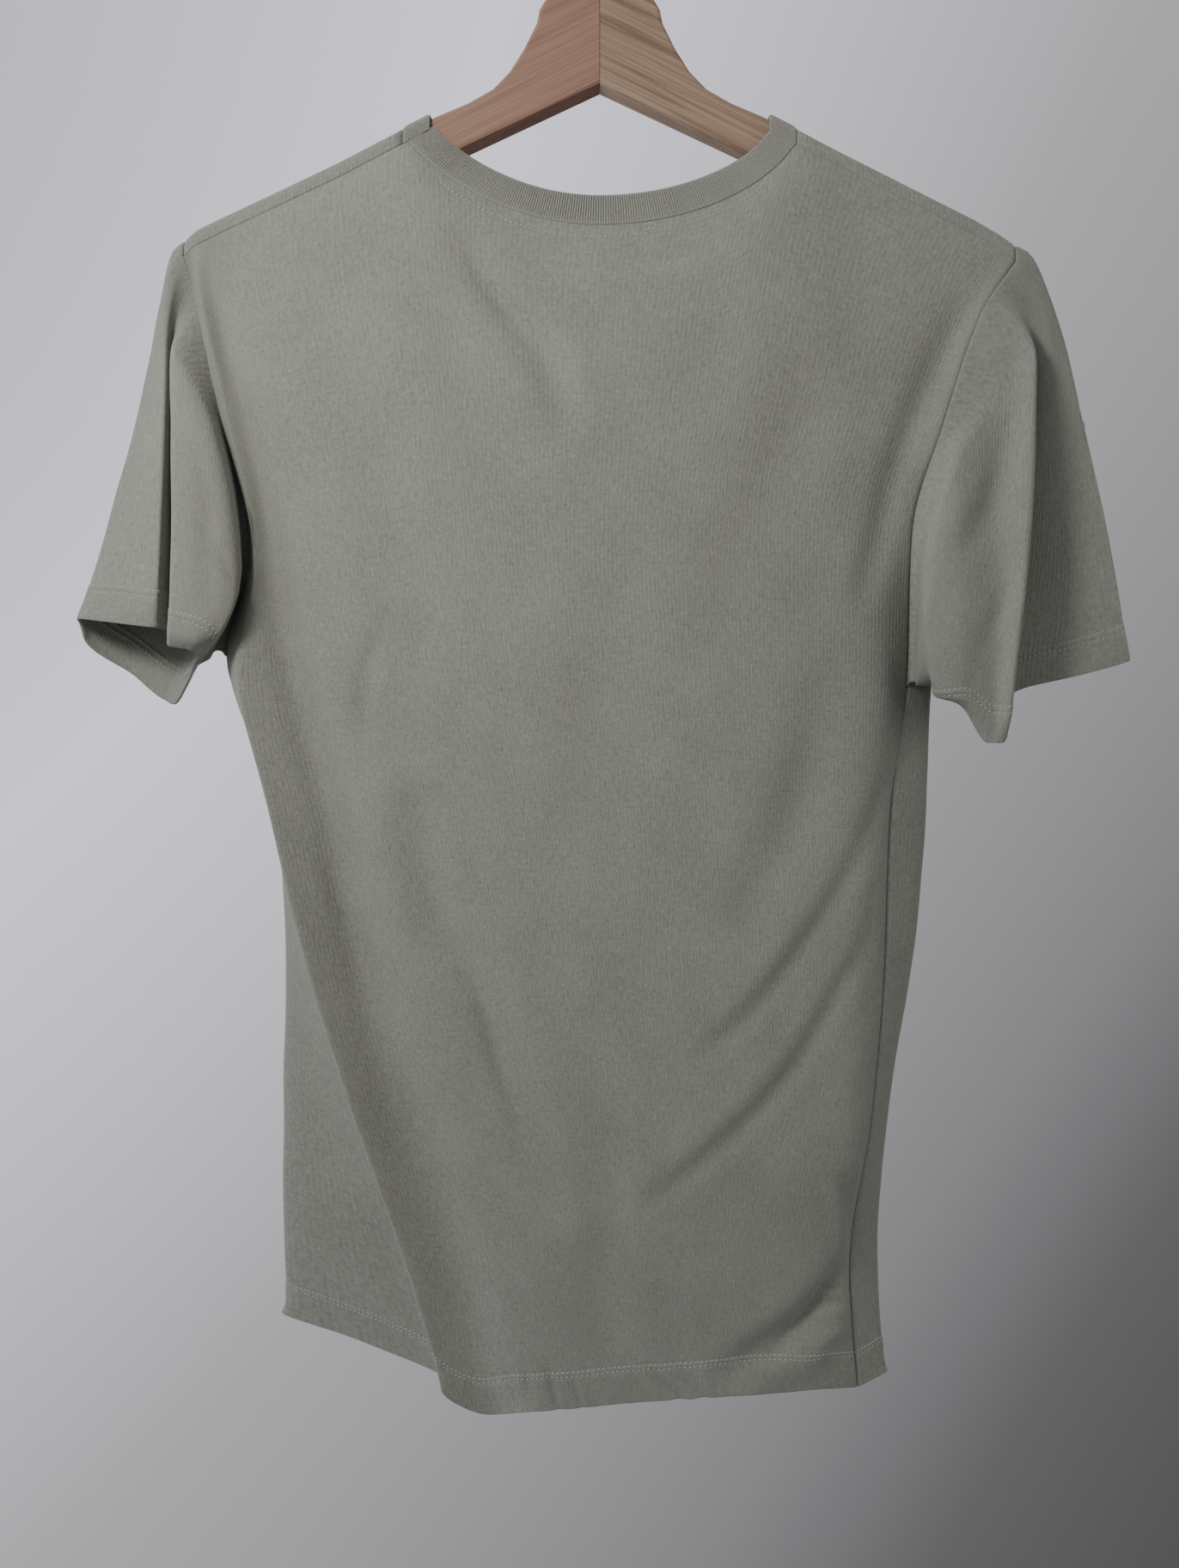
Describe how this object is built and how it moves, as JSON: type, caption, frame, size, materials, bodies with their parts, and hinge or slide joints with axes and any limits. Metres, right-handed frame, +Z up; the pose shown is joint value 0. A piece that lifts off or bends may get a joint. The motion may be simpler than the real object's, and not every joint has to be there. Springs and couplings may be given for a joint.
{
  "type": "t-shirt on a wooden hanger",
  "caption": "Short-sleeved crew-neck t-shirt with a ribbed neck, hanging open at hem, neck and sleeves from a mitred wooden coat hanger with a wire hook.",
  "frame": {"origin": "the inside top of the hook, where a rail bears, midway across the wire", "axes": "+Z up, +X along the hanger to the right of someone who looks at the shirt's back, +Y out of the shirt's front"},
  "size_m": [0.5919, 0.107, 0.8562],
  "materials": {
    "sage_jersey": "matte",
    "sage_rib": "matte",
    "beech": "satin",
    "pale_beech": "satin",
    "zinc_wire": "bright"
  },
  "bodies": {
    "root": {"back_panel": "sage_jersey", "front_panel": "sage_jersey", "sleeve_left": "sage_jersey", "sleeve_right": "sage_jersey", "neck_rib": "sage_rib", "hanger_arm_left": "beech", "hanger_arm_right": "pale_beech", "hanger_hook": "zinc_wire"}
  },
  "joints": []
}
